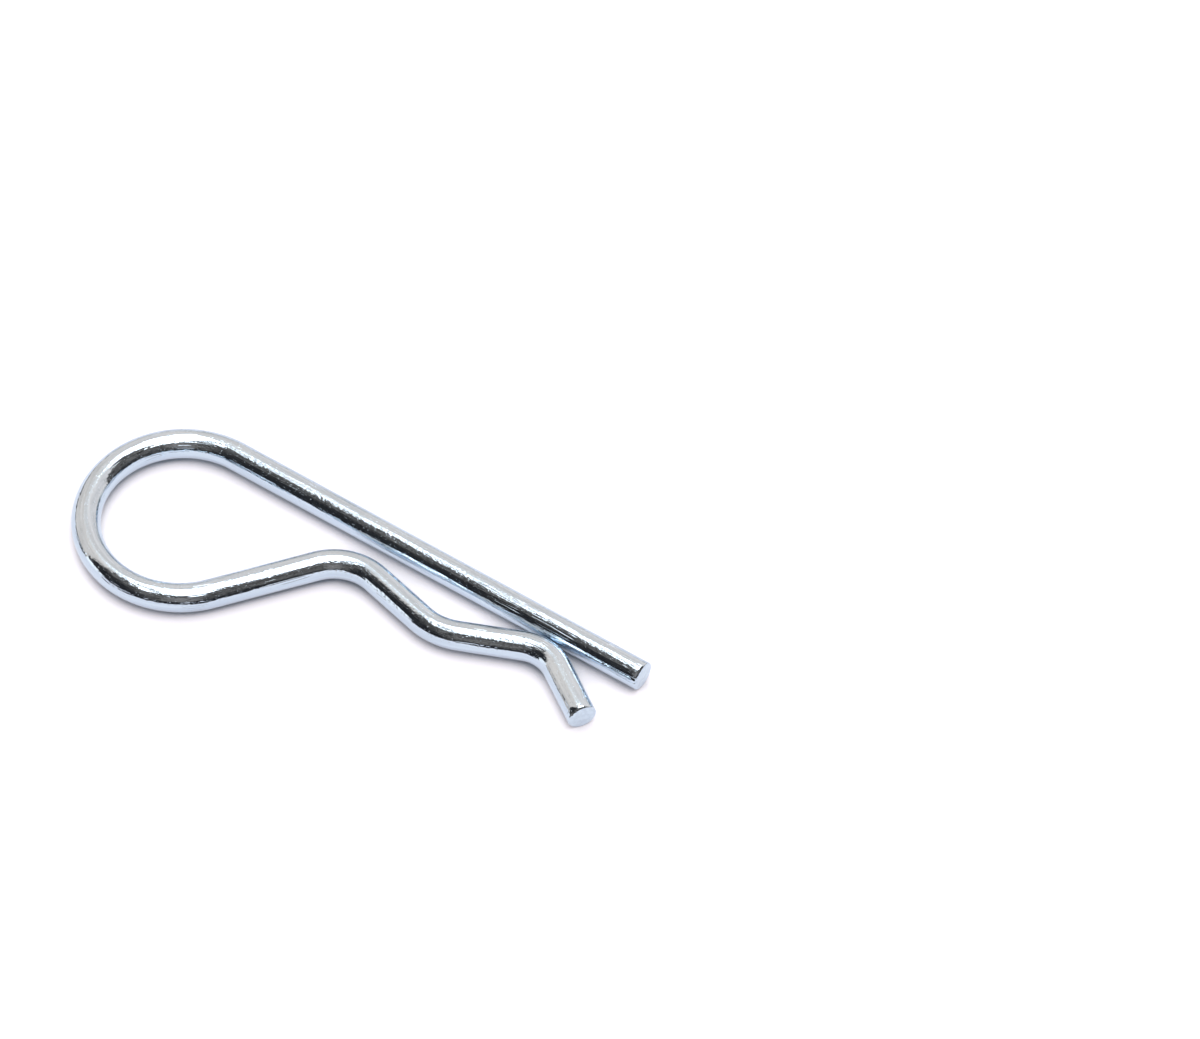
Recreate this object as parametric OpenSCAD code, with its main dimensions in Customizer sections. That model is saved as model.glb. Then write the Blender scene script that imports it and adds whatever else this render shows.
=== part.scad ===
// Hitch R clip pin: one length of round spring wire, bent in one plane.
// The straight leg goes through a cross hole in a shaft, and the wavy arm springs over the outside of the shaft.
// The clip lies flat: the leg runs along +X, the arm is on its -Y side, and the wire rests on Z = 0.
// The origin is below the middle of the clip's outline.

/* [Wire] */
// Diameter of the wire
wire_d = 4; // [3:0.1:5]
// Radius that rounds the rim of both cut ends
rim_r = 0.3; // [0.1:0.05:0.9]
// How much the wire's radius shrinks where it is drawn round a bend
bend_thinning = 0.01; // [0.01:0.01:0.05]

/* [Loop and straight leg] */
// Length from the back of the loop to the tip of the straight leg
overall_len = 80; // [70:1:110]
// Inside diameter of the loop
loop_in_d = 21.6; // [16:0.2:26]

/* [Wavy arm] */
// Angle at which the arm leaves the loop and runs in towards the leg
throat_angle = 52; // [35:1:70]
// Angle at which the arm leans away from the leg after the neck
seat_in_angle = 13.5; // [10:0.5:18]
// Angle at which the arm comes back to the leg after the seat
seat_out_angle = 23; // [14:1:35]
// Angle at which the tail flares away from the leg
tail_angle = 33.5; // [20:0.5:50]
// Straight length of the tail after its bend
tail_len = 8.5; // [4:0.1:12]

/* [Bends] */
// Inside radius of the bend at the neck
neck_in_r = 5.6; // [3:0.2:10]
// Inside radius of the bend in the middle of the seat
seat_in_r = 7.2; // [2:0.2:10]
// Inside radius of the bend at the catch
catch_in_r = 4.3; // [2:0.1:7]

/* [Gaps between the arm and the leg] */
// Open width at the neck
neck_gap = 2.25; // [1:0.05:3]
// Open width at the middle of the seat
seat_gap = 4.8; // [4:0.05:6]
// Open width at the catch, where the arm all but touches the leg
catch_gap = 0.2; // [0.05:0.05:1]

/* [Hidden] */
$fn = 64;

// How far the wire of a bend runs on inside the straights beside it
lap = 0.1;

// Bend radii to the middle of the wire
loop_r = (loop_in_d + wire_d) / 2;
neck_r = neck_in_r + wire_d / 2;
seat_r = seat_in_r + wire_d / 2;
catch_r = catch_in_r + wire_d / 2;

// Distances of the arm from the leg, between the middles of the wire
loop_end = loop_r * (1 + cos(throat_angle));
neck = wire_d + neck_gap;
seat = wire_d + seat_gap;
catch = wire_d + catch_gap;

// Straight lengths between the bends, from how far each one climbs or falls
leg_len = overall_len - loop_r - wire_d / 2;
throat_len = straight(loop_end - neck, neck_r, throat_angle);
seat_in_len = straight(seat - neck, neck_r + seat_r, seat_in_angle);
seat_out_len = straight(seat - catch, seat_r + catch_r, seat_out_angle);

// Where the leg meets the loop
leg_start = [loop_r + wire_d / 2 - overall_len / 2, loop_r, wire_d / 2];

// Length of a straight at an angle that makes up a rise, less what the bends at its ends make up
function straight(rise, bend_r, angle) = (rise - bend_r * (1 - cos(angle))) / sin(angle);

// A straight piece of wire along +X, with what follows it
module run(length) {
    rotate([0, 90, 0])
        cylinder(h = length, d = wire_d);
    translate([length, 0, 0])
        children();
}

// A bend that starts along +X and turns left, or right where the angle is negative, with what follows it
module bend(radius, angle) {
    side = sign(angle);
    lap_angle = lap / radius * 180 / PI;
    translate([0, side * radius, 0])
        rotate([0, 0, (side > 0 ? -90 : 90 + angle) - lap_angle])
            rotate_extrude(angle = abs(angle) + 2 * lap_angle)
                translate([radius, 0])
                    circle(r = wire_d / 2 - bend_thinning);
    translate([radius * sin(abs(angle)), side * radius * (1 - cos(angle)), 0])
        rotate([0, 0, angle])
            children();
}

// A cut end that faces +X: a straight piece whose last rim is rounded
module tip(length) {
    rotate([0, 90, 0])
        rotate_extrude() {
            square([wire_d / 2 - rim_r, length]);
            square([wire_d / 2, length - rim_r]);
            intersection() {
                translate([wire_d / 2 - rim_r, length - rim_r])
                    circle(r = rim_r);
                square([wire_d / 2, length]);
            }
        }
}

// The leg from the loop to its tip
module straight_leg() {
    tip(leg_len);
}

// The rest of the wire from the leg: the loop, the neck, the seat, the catch and the tail
module loop_and_arm() {
    rotate([0, 0, 180])
        bend(loop_r, 180 + throat_angle)
        run(throat_len)
        bend(neck_r, -throat_angle - seat_in_angle)
        run(seat_in_len)
        bend(seat_r, seat_in_angle + seat_out_angle)
        run(seat_out_len)
        bend(catch_r, -seat_out_angle - tail_angle)
        tip(tail_len);
}

module r_clip() {
    color("lightsteelblue")
        translate(leg_start)
            union() {
                straight_leg();
                loop_and_arm();
            }
}

r_clip();
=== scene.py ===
"""Looks of the hitch R clip pin: one bright zinc-plated spring wire on a white floor."""
import math

import bpy
from mathutils import Matrix, Vector


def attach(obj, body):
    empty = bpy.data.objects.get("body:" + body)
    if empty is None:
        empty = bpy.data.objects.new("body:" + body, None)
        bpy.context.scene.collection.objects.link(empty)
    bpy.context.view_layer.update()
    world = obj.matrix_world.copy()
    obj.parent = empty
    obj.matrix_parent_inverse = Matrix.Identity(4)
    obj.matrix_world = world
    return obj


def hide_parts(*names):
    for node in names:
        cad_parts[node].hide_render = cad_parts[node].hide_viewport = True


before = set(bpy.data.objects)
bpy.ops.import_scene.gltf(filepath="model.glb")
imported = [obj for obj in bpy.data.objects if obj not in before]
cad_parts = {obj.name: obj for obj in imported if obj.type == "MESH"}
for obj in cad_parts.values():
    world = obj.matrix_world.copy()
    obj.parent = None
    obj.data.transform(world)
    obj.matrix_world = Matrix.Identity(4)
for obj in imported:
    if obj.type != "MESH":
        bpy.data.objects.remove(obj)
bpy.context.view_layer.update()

# A millimetre in metres, and a radian in degrees
MM = 0.001
DEGREES = 180 / math.pi
WHITE = (1, 1, 1, 1)

# The clip's sizes, as in the part's source, in millimetres and degrees. Radii go to the middle of the wire
WIRE_D = 4.0
WIRE_R = WIRE_D / 2
OVERALL_LEN = 80.0
LOOP_R = 12.8
NECK_R = 7.6
SEAT_R = 9.2
CATCH_R = 6.3
THROAT_ANGLE = 52.0
SEAT_IN_ANGLE = 13.5
SEAT_OUT_ANGLE = 23.0
TAIL_ANGLE = 33.5
TAIL_LEN = 8.5
NECK_GAP = 2.25
SEAT_GAP = 4.8
CATCH_GAP = 0.2

# Distances of the arm from the leg, between the middles of the wire
LOOP_END = LOOP_R * (1 + math.cos(math.radians(THROAT_ANGLE)))
NECK = WIRE_D + NECK_GAP
SEAT = WIRE_D + SEAT_GAP
CATCH = WIRE_D + CATCH_GAP

# How much thinner the visible wire is on its radius, which keeps it inside the box of the solid's facets
SKIN_THINNING = 0.006
SKIN_R = WIRE_R - SKIN_THINNING
# How much thinner still it is on its radius inside a bend, and over what length it gets so
BEND_THINNING = 0.014
THINNING_LENGTH = 1.5

# Radius of a cut end's rim where nothing tore it, and how far in from the side a torn rim reaches at most
SHARP_RIM = 0.16
RIM_DEEPEST = 0.5
# Where the cutter tore the rim or rolled it over, as (angle, half width of the place, extra radius there).
# Angle 0 is at the left of the way that the wire runs, and 90 is at the top
LEG_TEARS = ((45.0, 35.0, 0.85), (100.0, 30.0, 0.15))
TAIL_TEARS = ((128.0, 15.0, 1.0), (96.0, 20.0, 0.35))

# Mesh of the wire: sides of the section, the widest spacing of its rings on straights and in bends,
# the length at each cut end that is left to the rim, and the rings of the rim and of the flat face
SIDES = 96
STRAIGHT_STEP = 1.0
BEND_STEP = 0.3
END_ZONE = 1.6
RIM_STEPS = 7
FACE_RINGS = 6

# Camera in millimetres and degrees: where it looks, from which side, how high and how far, lens and sensor
LOOK_AT = (20.064, 32.303, 0.0)
CAMERA_AZIMUTH = 33.873
CAMERA_ELEVATION = 53.206
CAMERA_DISTANCE = 1500.0
LENS = 337.63
SENSOR = 36.0
# The nearest and the farthest that the camera sees, in metres
NEAR_CLIP = 0.01
FAR_CLIP = 20.0

# Floor: half its width in metres, its paper, and the glow that is seen on top of the light that falls on it
FLOOR_HALF = 1.5
FLOOR_COLOUR = (0.50, 0.56, 0.61, 1)
FLOOR_GLOW = (0.76, 0.69, 0.725, 1)
FLOOR_GLOW_IN_MIRROR = 0.74
# The glow fades where the wire is within this reach, in metres, which paints a darker contact shadow on the
# floor on top of its real one. It fades most where the wire is behind the place, as seen from the camera,
# because the look around leans back by this much for each unit up
FLOOR_SHADOW_REACH = 0.0038
FLOOR_SHADOW_LEAN = 1.2
FLOOR_SAMPLES = 4
# How free of wire the surroundings are where the glow begins and where it is full: the edge of the painted
# contact shadow, as the camera sees it and as the wire mirrors it
FLOOR_SHADOW_CLEAR = (0.37, 0.57)
FLOOR_SHADOW_CLEAR_IN_MIRROR = (0.05, 0.4)

# Zinc: its colour where it is bright and where it is a little clouded, its roughness, and what grain adds
ZINC_BRIGHT = (0.68, 0.782, 0.876, 1)
ZINC_CLOUDED = (0.62, 0.72, 0.82, 1)
ZINC_ROUGHNESS = 0.05
GRAIN_ROUGHNESS = 0.09

# Marks in the zinc: how often each kind repeats in a metre along the wire, across it and up
DRAWN_LINES = (150, 3300, 3300)
GROOVES = (90, 1600, 1600)
GRAIN = (2000, 3600, 3600)
SCRATCHES = (110, 1900, 1900)
SCRATCHED_PATCHES = (160, 420, 420)
PITS = 3600.0
# Height of the relief in metres, and the share of it that each kind of mark has
RELIEF = 0.00003
LINE_SHARE = 1.1
GROOVE_SHARE = 0.4
GRAIN_SHARE = 0.6
SCRATCH_SHARE = 0.55
PIT_SHARE = 0.35
# Levels of the noise where each mark begins and where it is full. A scratch is near the noise's middle
NOISE_MIDDLE = 0.5
SCRATCH_NEAR_MIDDLE = (0.07, 0.0)
PATCH_LEVELS = (0.52, 0.64)
PIT_LEVELS = (0.67, 0.74)
BRIGHT_LEVELS = (0.35, 0.65)
ROUGH_LEVELS = (0.35, 0.7)

# Studio by direction, in degrees away from straight up: across to the camera's right, and towards the camera.
# Each pair tells where a change begins and where it is full

# The least that a direction counts as leaning, so that straight up gives no division by zero
LEAST_LEAN = 0.0001

# Lamp overhead: a rounded oblong that widens towards the camera. Its edges are values of lamp_distance
LAMP_HALF_WIDTH = 19.5
LAMP_WIDENS = 0.13
LAMP_MIDDLE = -4.5
LAMP_HALF_DEPTH = 24.5
LAMP_SQUARENESS = 3.0
LAMP_EDGE = (1.25, 0.75)
LAMP_COLOUR = (4.0, 4.0, 4.0, 1)
LAMP_HALO_EDGE = (3.2, 1.2)
LAMP_HALO = (1.04, 0.98, 0.93, 1)
# The dim seam across the lamp, which the leg mirrors as a fine line in its white band
LAMP_SEAM = -12.4
LAMP_SEAM_WIDTH = 4.5
LAMP_SEAM_COLOUR = (0.45, 0.45, 0.45, 1)

# Pale walls behind and beside, as far as a line that steps back in the middle, and their foot
WALLS_END = -7.0
WALLS_END_BLUR = 2.0
WALLS_STEP_BACK = 25.0
WALLS_STEP_WIDTH = 19.0
WALL_SIDES = (-40.0, 40.0)
WALL_LEFT = (0.95, 0.83, 0.745, 1)
WALL_RIGHT = (1.03, 0.92, 0.86, 1)
WALL_MOTTLE = (0.80, 0.80, 0.80, 1)
WALL_MOTTLE_SCALE = 6.0
WALL_MOTTLE_LEVELS = (0.35, 0.65)
WALL_FOOT_TILT = (80.0, 84.0)
WALL_FOOT = (0.55, 0.55, 0.55, 1)
WALL_FOOT_LEFT_SIDE = (-15.0, -45.0)
WALL_FOOT_LEFT = (0.05, 0.05, 0.05, 1)

# Dark room on the camera's side: cluttered shelves, a paler middle, a darker foot and left side,
# and a window far to the left
ROOM_DARK = (0.032, 0.030, 0.029, 1)
ROOM_COLOUR = (0.27, 0.24, 0.22, 1)
CLUTTER_WIDTH = 13.0
CLUTTER_DEPTH = 6.0
CLUTTER_LEVELS = (0.36, 0.68)
ROOM_MIDDLE = (0.37, 0.33, 0.31, 1)
ROOM_MIDDLE_SHARE = 0.65
ROOM_MIDDLE_ACROSS = (26.0, 2.0)
ROOM_MIDDLE_TOWARDS = (28.0, 46.0)
ROOM_FOOT = (0.008, 0.010, 0.014, 1)
ROOM_FOOT_TILT = (62.0, 86.0)
ROOM_LEFT_SIDE = (-25.0, -50.0)
ROOM_LEFT_SHARE = 0.85
WINDOW_COLOUR = (1.3, 1.3, 1.3, 1)
WINDOW_ACROSS = (-72.0, -76.0)
WINDOW_TOWARDS = (28.0, 22.0)


def straight_length(rise, bend_r, angle):
    """Length of a straight at an angle that makes up a rise, less what its bends make up."""
    turn = math.radians(angle)
    return (rise - bend_r * (1 - math.cos(turn))) / math.sin(turn)


def wire_stretches():
    """The wire from the leg's tip to the tail's end, as (length, None) or (bend radius, turn in degrees)."""
    leg = OVERALL_LEN - LOOP_R - WIRE_R
    throat = straight_length(LOOP_END - NECK, NECK_R, THROAT_ANGLE)
    seat_in = straight_length(SEAT - NECK, NECK_R + SEAT_R, SEAT_IN_ANGLE)
    seat_out = straight_length(SEAT - CATCH, SEAT_R + CATCH_R, SEAT_OUT_ANGLE)
    return [
        (leg, None),
        (LOOP_R, 180 + THROAT_ANGLE),
        (throat, None),
        (NECK_R, -THROAT_ANGLE - SEAT_IN_ANGLE),
        (seat_in, None),
        (SEAT_R, SEAT_IN_ANGLE + SEAT_OUT_ANGLE),
        (seat_out, None),
        (CATCH_R, -SEAT_OUT_ANGLE - TAIL_ANGLE),
        (TAIL_LEN, None),
    ]


def wire_stations():
    """Stations of the rings: (x, y, heading, distance along the wire, radius) in millimetres and radians."""
    x = OVERALL_LEN / 2
    y = LOOP_R
    heading = math.pi
    done = 0.0
    stations = [(x, y, heading, 0.0, SKIN_R)]
    for size, turn in wire_stretches():
        radians = 0.0 if turn is None else math.radians(turn)
        length = size if turn is None else size * abs(radians)
        steps = math.ceil(length / (STRAIGHT_STEP if turn is None else BEND_STEP))
        side = 1 if radians > 0 else -1
        for i in range(steps):
            mark = length * (i + 1) / steps
            radius = SKIN_R
            if turn is None:
                px = x + math.cos(heading) * mark
                py = y + math.sin(heading) * mark
                h = heading
            else:
                radius -= BEND_THINNING * min(1.0, mark / THINNING_LENGTH, (length - mark) / THINNING_LENGTH)
                h = heading + side * mark / size
                px = x + side * size * (math.sin(h) - math.sin(heading))
                py = y - side * size * (math.cos(h) - math.cos(heading))
            stations.append((px, py, h, done + mark, radius))
        x, y, heading = stations[-1][:3]
        done += length
    return stations


def rim_steps():
    """The rounded rim and the cut face, from the rim inwards.

    Each step is (share of the rim's radius back from the face, share in from the side, share of the face).
    """
    arc = []
    for i in range(RIM_STEPS + 1):
        a = math.pi / 2 * i / RIM_STEPS
        arc.append((1 - math.sin(a), 1 - math.cos(a), 1.0))
    flat = [(0.0, 1.0, 1 - (i + 1) / FACE_RINGS) for i in range(FACE_RINGS - 1)]
    return arc + flat


def torn_rim(angle, tears):
    """Radius of the rim at an angle round the section: larger where the cutter tore it or rolled it over."""
    rim = SHARP_RIM
    for at, half_width, extra in tears:
        off = (math.degrees(angle) - at + 180) % 360 - 180
        rim += extra * math.exp(-((off / half_width) ** 2))
    return rim


def side_angles():
    """Angles of the section's sides, in radians."""
    return [2 * math.pi * k / SIDES for k in range(SIDES)]


def end_ring(step, tears):
    """One ring of a cut end, as (distance back from the face, place across, place up) for each side."""
    back_share, in_share, face_share = step
    ring = []
    for a in side_angles():
        rim = torn_rim(a, tears)
        radius = (SKIN_R - min(rim, RIM_DEEPEST) * in_share) * face_share
        ring.append((rim * back_share, radius * math.cos(a), radius * math.sin(a)))
    return ring


def wire_rings(stations):
    """All rings from the leg's cut face to the tail's.

    A ring has for each side (its station, how far past it, distance along the wire, place across, place up).
    """
    start = stations[0]
    end = stations[-1]
    total = end[3]
    rings = []
    for step in reversed(rim_steps()):
        rings.append([(start, back, back, out, up) for back, out, up in end_ring(step, LEG_TEARS)])
    circle = [(math.cos(a), math.sin(a)) for a in side_angles()]
    for station in stations:
        if END_ZONE < station[3] < total - END_ZONE:
            r = station[4]
            rings.append([(station, 0.0, station[3], r * out, r * up) for out, up in circle])
    for step in rim_steps():
        rings.append([(end, -back, total - back, out, up) for back, out, up in end_ring(step, TAIL_TEARS)])
    return rings


def wire_mesh():
    """The whole wire as one closed mesh. An attribute keeps each point's place on the straightened wire."""
    stations = wire_stations()
    total = stations[-1][3]
    rings = wire_rings(stations)
    verts, wire_place, faces = [], [], []
    for ring in rings:
        for (px, py, h, _, _), onward, along, out, up in ring:
            x = px + math.cos(h) * onward - math.sin(h) * out
            y = py + math.sin(h) * onward + math.cos(h) * out
            verts.append((x * MM, y * MM, (WIRE_R + up) * MM))
            wire_place.append((along * MM, out * MM, up * MM))
    for i in range(len(rings) - 1):
        for k in range(SIDES):
            n = (k + 1) % SIDES
            faces.append((i * SIDES + k, i * SIDES + n, (i + 1) * SIDES + n, (i + 1) * SIDES + k))
    for ring, along in ((0, 0.0), (len(rings) - 1, total)):
        centre = len(verts)
        around = [Vector(v) for v in verts[ring * SIDES:(ring + 1) * SIDES]]
        verts.append(tuple(sum(around, Vector()) / SIDES))
        wire_place.append((along * MM, 0.0, 0.0))
        for k in range(SIDES):
            n = (k + 1) % SIDES
            pair = (ring * SIDES + k, ring * SIDES + n)
            faces.append((centre, *(pair if ring else reversed(pair))))
    mesh = bpy.data.meshes.new("r_clip_wire")
    mesh.from_pydata(verts, [], faces)
    mesh.validate()
    mesh.shade_smooth()
    place = mesh.attributes.new("wire_place", "FLOAT_VECTOR", "POINT")
    place.data.foreach_set("vector", [v for p in wire_place for v in p])
    mesh.update()
    return mesh


class Nodes:
    """Short calls for building a node tree. A value is a number, a colour or another node's output."""

    def __init__(self, owner):
        owner.use_nodes = True
        self.tree = owner.node_tree
        self.tree.nodes.clear()

    def put(self, socket, value):
        if isinstance(value, bpy.types.NodeSocket):
            self.tree.links.new(value, socket)
        else:
            socket.default_value = value

    def add(self, kind, inputs=None, **settings):
        node = self.tree.nodes.new(kind)
        for name, value in settings.items():
            setattr(node, name, value)
        for name, value in (inputs or {}).items():
            self.put(node.inputs[name], value)
        return node

    def math(self, operation, a, b=0.5):
        return self.add("ShaderNodeMath", {0: a, 1: b}, operation=operation).outputs[0]

    def vector_math(self, operation, a, b, output):
        return self.add("ShaderNodeVectorMath", {0: a, 1: b}, operation=operation).outputs[output]

    def times(self, a, b):
        """Product of two vectors or colours, part by part."""
        return self.vector_math("MULTIPLY", a, b, "Vector")

    def bell(self, value):
        """1 where the value is 0, and smoothly less on both sides."""
        return self.math("EXPONENT", self.math("MULTIPLY", self.math("MULTIPLY", value, value), -1.0))

    def ramp(self, value, span):
        """0 up to the span's first number, and 1 from its second on, which may be the smaller one."""
        inputs = {"Value": value, "From Min": span[0], "From Max": span[1]}
        return self.add("ShaderNodeMapRange", inputs, interpolation_type="SMOOTHSTEP").outputs["Result"]

    def mix(self, factor, a, b):
        """Colour a where the factor is 0, and colour b where it is 1."""
        node = self.add("ShaderNodeMix", data_type="RGBA")
        self.put(node.inputs[0], factor)
        self.put(node.inputs[6], a)
        self.put(node.inputs[7], b)
        return node.outputs[2]

    def noise(self, vector, scale=1.0, detail=1.0, roughness=0.5):
        inputs = {"Vector": vector, "Scale": scale, "Detail": detail, "Roughness": roughness}
        return self.add("ShaderNodeTexNoise", inputs).outputs["Fac"]


def zinc_material():
    """Bright bluish zinc on drawn wire: a near mirror with fine lines, scratches, small pits and clouds."""
    mat = bpy.data.materials.new("zinc_plated_wire")
    n = Nodes(mat)
    place = n.add("ShaderNodeAttribute", attribute_name="wire_place").outputs["Vector"]
    lines = n.noise(n.times(place, DRAWN_LINES), roughness=0.4)
    grooves = n.noise(n.times(place, GROOVES), roughness=0.4)
    grain = n.noise(n.times(place, GRAIN))
    off_middle = n.math("SUBTRACT", n.noise(n.times(place, SCRATCHES), detail=0.0), NOISE_MIDDLE)
    scratch = n.ramp(n.math("ABSOLUTE", off_middle), SCRATCH_NEAR_MIDDLE)
    patches = n.ramp(n.noise(n.times(place, SCRATCHED_PATCHES)), PATCH_LEVELS)
    scratches = n.math("MULTIPLY", scratch, patches)
    pits = n.ramp(n.noise(place, scale=PITS), PIT_LEVELS)
    height = n.math("ADD", n.math("MULTIPLY", lines, LINE_SHARE), n.math("MULTIPLY", grooves, GROOVE_SHARE))
    height = n.math("ADD", height, n.math("MULTIPLY", grain, GRAIN_SHARE))
    height = n.math("SUBTRACT", height, n.math("MULTIPLY", scratches, SCRATCH_SHARE))
    height = n.math("SUBTRACT", height, n.math("MULTIPLY", pits, PIT_SHARE))
    relief = {"Strength": 1.0, "Distance": RELIEF, "Height": height}
    rough = n.math("MULTIPLY", n.ramp(grain, ROUGH_LEVELS), GRAIN_ROUGHNESS)
    surface = {
        "Base Color": n.mix(n.ramp(grooves, BRIGHT_LEVELS), ZINC_CLOUDED, ZINC_BRIGHT),
        "Metallic": 1.0,
        "Roughness": n.math("ADD", rough, ZINC_ROUGHNESS),
        "Normal": n.add("ShaderNodeBump", relief).outputs["Normal"],
    }
    shader = n.add("ShaderNodeBsdfPrincipled", surface)
    n.add("ShaderNodeOutputMaterial", {"Surface": shader.outputs[0]})
    return mat


def floor_material():
    """White paper that keeps the clip's shadow. The camera and the mirror of the wire see it glow, and the
    glow fades near the wire as a painted contact shadow.
    """
    mat = bpy.data.materials.new("floor_paper")
    n = Nodes(mat)
    path = n.add("ShaderNodeLightPath").outputs
    paper = n.add("ShaderNodeBsdfDiffuse", {"Color": FLOOR_COLOUR}).outputs[0]
    a = math.radians(CAMERA_AZIMUTH)
    lean = Vector((-math.sin(a) * FLOOR_SHADOW_LEAN, math.cos(a) * FLOOR_SHADOW_LEAN, 1)).normalized()
    look = {"Distance": FLOOR_SHADOW_REACH, "Normal": lean}
    clear = n.add("ShaderNodeAmbientOcclusion", look, samples=FLOOR_SAMPLES).outputs["AO"]
    # Painted contact shadow: the glow that the camera sees is taken away where the wire is near, most of all
    # where it is behind the place
    seen = n.math("MULTIPLY", path["Is Camera Ray"], n.ramp(clear, FLOOR_SHADOW_CLEAR))
    # Painted shade in the mirror too: the glow that the wire mirrors fades right by the wire
    mirrored = n.math("MULTIPLY", path["Is Glossy Ray"], FLOOR_GLOW_IN_MIRROR)
    mirrored = n.math("MULTIPLY", mirrored, n.ramp(clear, FLOOR_SHADOW_CLEAR_IN_MIRROR))
    strength = n.math("ADD", seen, mirrored)
    glow = n.add("ShaderNodeEmission", {"Color": FLOOR_GLOW, "Strength": strength}).outputs[0]
    both = n.add("ShaderNodeAddShader", {0: paper, 1: glow}).outputs[0]
    n.add("ShaderNodeOutputMaterial", {"Surface": both})
    return mat


def studio_angles(n, direction):
    """A direction's degrees from straight up: across to the camera's right, towards the camera, in all."""
    a = math.radians(CAMERA_AZIMUTH)
    right = n.vector_math("DOT_PRODUCT", direction, (math.cos(a), math.sin(a), 0), "Value")
    front = n.vector_math("DOT_PRODUCT", direction, (math.sin(a), -math.cos(a), 0), "Value")
    rise = n.vector_math("DOT_PRODUCT", direction, (0, 0, 1), "Value")
    tilt = n.math("MULTIPLY", n.math("ARCCOSINE", rise), DEGREES)
    lean = n.math("SQRT", n.math("SUBTRACT", 1.0, n.math("MULTIPLY", rise, rise)))
    lean = n.math("MAXIMUM", lean, LEAST_LEAN)
    across = n.math("MULTIPLY", tilt, n.math("DIVIDE", right, lean))
    towards = n.math("MULTIPLY", tilt, n.math("DIVIDE", front, lean))
    return across, towards, tilt


def lamp_distance(n, across, towards):
    """How far a direction is from the lamp's middle: 0 there, and 1 on its outline."""
    half = n.math("ADD", n.math("MULTIPLY", towards, LAMP_WIDENS), LAMP_HALF_WIDTH)
    wide = n.math("POWER", n.math("ABSOLUTE", n.math("DIVIDE", across, half)), LAMP_SQUARENESS)
    deep = n.math("DIVIDE", n.math("SUBTRACT", towards, LAMP_MIDDLE), LAMP_HALF_DEPTH)
    return n.math("ADD", wide, n.math("POWER", n.math("ABSOLUTE", deep), LAMP_SQUARENESS))


def lamp_light(n, across):
    """The lamp and its dim seam."""
    seam = n.bell(n.math("DIVIDE", n.math("SUBTRACT", across, LAMP_SEAM), LAMP_SEAM_WIDTH))
    return n.mix(seam, LAMP_COLOUR, LAMP_SEAM_COLOUR)


def pale_walls(n, direction, across, tilt, away):
    """Mottled walls with the lamp's halo on them, and their foot."""
    wall = n.mix(n.ramp(across, WALL_SIDES), WALL_LEFT, WALL_RIGHT)
    mottle = n.noise(direction, scale=WALL_MOTTLE_SCALE, detail=3.0, roughness=0.6)
    wall = n.times(wall, n.mix(n.ramp(mottle, WALL_MOTTLE_LEVELS), WALL_MOTTLE, WHITE))
    wall = n.mix(n.ramp(away, LAMP_HALO_EDGE), wall, LAMP_HALO)
    foot = n.mix(n.ramp(across, WALL_FOOT_LEFT_SIDE), WALL_FOOT, WALL_FOOT_LEFT)
    return n.mix(n.ramp(tilt, WALL_FOOT_TILT), wall, foot)


def dark_room(n, across, towards, tilt):
    """Shelves, the paler middle, the dark foot and left side, and the window."""
    place = {"X": n.math("DIVIDE", across, CLUTTER_WIDTH), "Y": n.math("DIVIDE", towards, CLUTTER_DEPTH)}
    shelves = n.add("ShaderNodeCombineXYZ", place).outputs[0]
    clutter = n.noise(shelves, detail=3.0, roughness=0.6)
    room = n.mix(n.ramp(clutter, CLUTTER_LEVELS), ROOM_DARK, ROOM_COLOUR)
    middle = n.ramp(n.math("ABSOLUTE", across), ROOM_MIDDLE_ACROSS)
    middle = n.math("MULTIPLY", middle, n.ramp(towards, ROOM_MIDDLE_TOWARDS))
    room = n.mix(n.math("MULTIPLY", middle, ROOM_MIDDLE_SHARE), room, ROOM_MIDDLE)
    left = n.math("MULTIPLY", n.ramp(across, ROOM_LEFT_SIDE), ROOM_LEFT_SHARE)
    room = n.mix(n.math("MAXIMUM", n.ramp(tilt, ROOM_FOOT_TILT), left), room, ROOM_FOOT)
    window = n.math("MULTIPLY", n.ramp(across, WINDOW_ACROSS), n.ramp(towards, WINDOW_TOWARDS))
    return n.mix(window, room, WINDOW_COLOUR)


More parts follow.
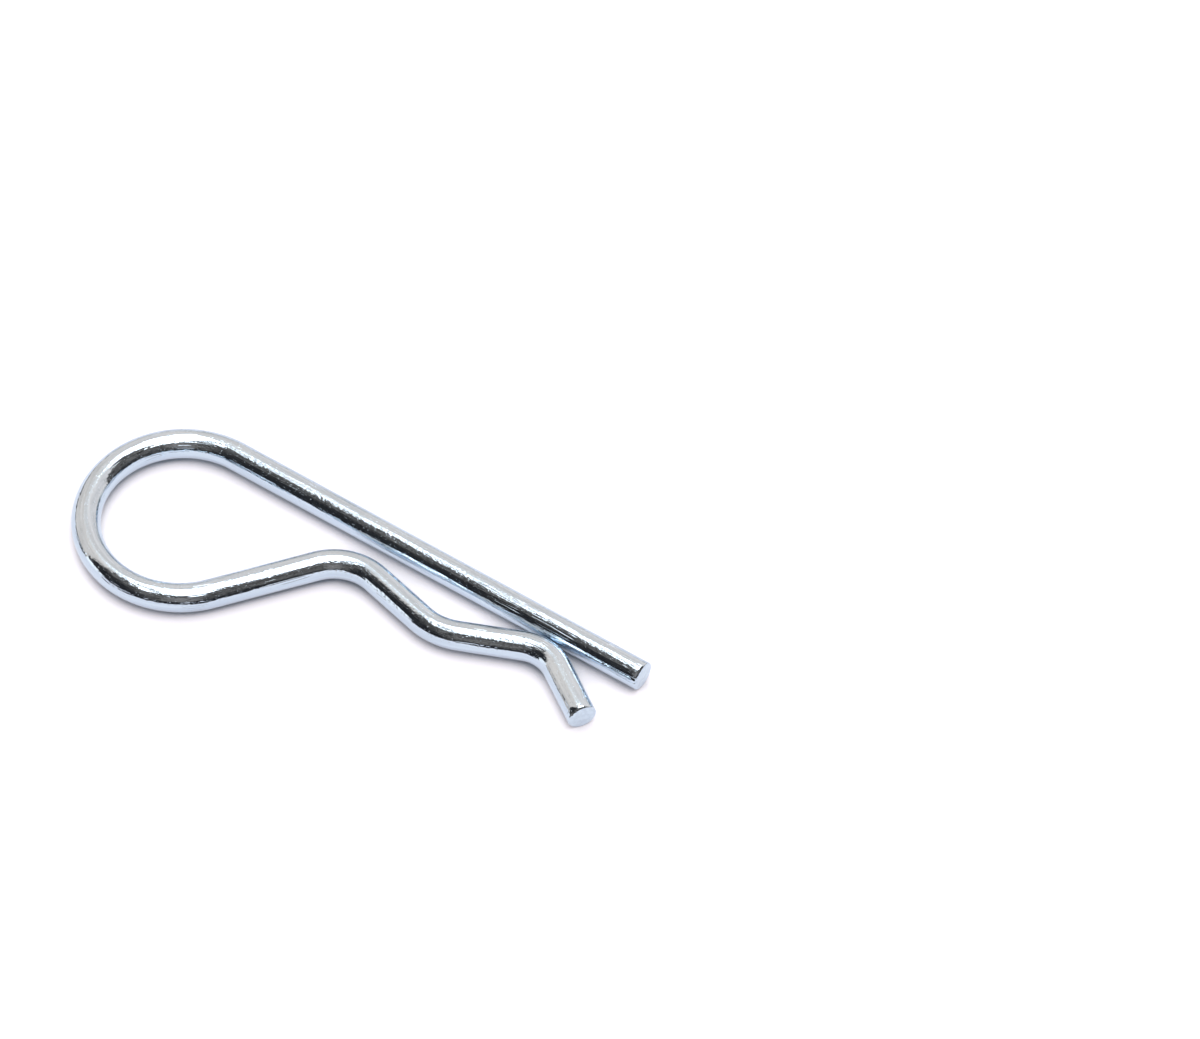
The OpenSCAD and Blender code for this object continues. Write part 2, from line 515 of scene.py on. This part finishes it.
def studio_world():
    """Light by direction: a lamp overhead, pale walls behind and beside, a dark room on the camera's side.

    The camera itself sees plain white.
    """
    world = bpy.data.worlds.new("studio")
    bpy.context.scene.world = world
    n = Nodes(world)
    direction = n.add("ShaderNodeTexCoord").outputs["Generated"]
    across, towards, tilt = studio_angles(n, direction)
    away = lamp_distance(n, across, towards)
    step = n.bell(n.math("DIVIDE", across, WALLS_STEP_WIDTH))
    walls_end = n.math("SUBTRACT", WALLS_END, n.math("MULTIPLY", step, WALLS_STEP_BACK))
    in_room = n.ramp(n.math("SUBTRACT", towards, walls_end), (-WALLS_END_BLUR, WALLS_END_BLUR))
    walls = pale_walls(n, direction, across, tilt, away)
    around = n.mix(in_room, walls, dark_room(n, across, towards, tilt))
    light = n.mix(n.ramp(away, LAMP_EDGE), around, lamp_light(n, across))
    path = n.add("ShaderNodeLightPath").outputs
    shown = n.mix(path["Is Camera Ray"], light, WHITE)
    shader = n.add("ShaderNodeBackground", {"Color": shown, "Strength": 1.0})
    n.add("ShaderNodeOutputWorld", {"Surface": shader.outputs[0]})


def add_floor():
    """The paper under the clip, which isn't a piece of the part."""
    mesh = bpy.data.meshes.new("floor")
    h = FLOOR_HALF
    mesh.from_pydata([(-h, -h, 0), (h, -h, 0), (h, h, 0), (-h, h, 0)], [], [(0, 1, 2, 3)])
    floor = bpy.data.objects.new("floor", mesh)
    floor.data.materials.append(floor_material())
    bpy.context.scene.collection.objects.link(floor)


def add_camera():
    """The camera, at the photograph's angle and framing."""
    data = bpy.data.cameras.new("camera")
    data.lens = LENS
    data.sensor_width = SENSOR
    data.clip_start = NEAR_CLIP
    data.clip_end = FAR_CLIP
    camera = bpy.data.objects.new("camera", data)
    bpy.context.scene.collection.objects.link(camera)
    a = math.radians(CAMERA_AZIMUTH)
    e = math.radians(CAMERA_ELEVATION)
    back = Vector((math.sin(a) * math.cos(e), -math.cos(a) * math.cos(e), math.sin(e)))
    place = Matrix.Translation((Vector(LOOK_AT) + back * CAMERA_DISTANCE) * MM)
    camera.matrix_world = place @ back.to_track_quat("Z", "Y").to_matrix().to_4x4()
    bpy.context.scene.camera = camera


def add_wire():
    """The visible wire, in place of the plain solid."""
    wire = bpy.data.objects.new("r_clip_wire", wire_mesh())
    wire.data.materials.append(zinc_material())
    bpy.context.scene.collection.objects.link(wire)
    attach(wire, "root")
    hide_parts("r_clip")


add_camera()
add_wire()
add_floor()
studio_world()
bpy.context.scene.view_settings.view_transform = "Standard"
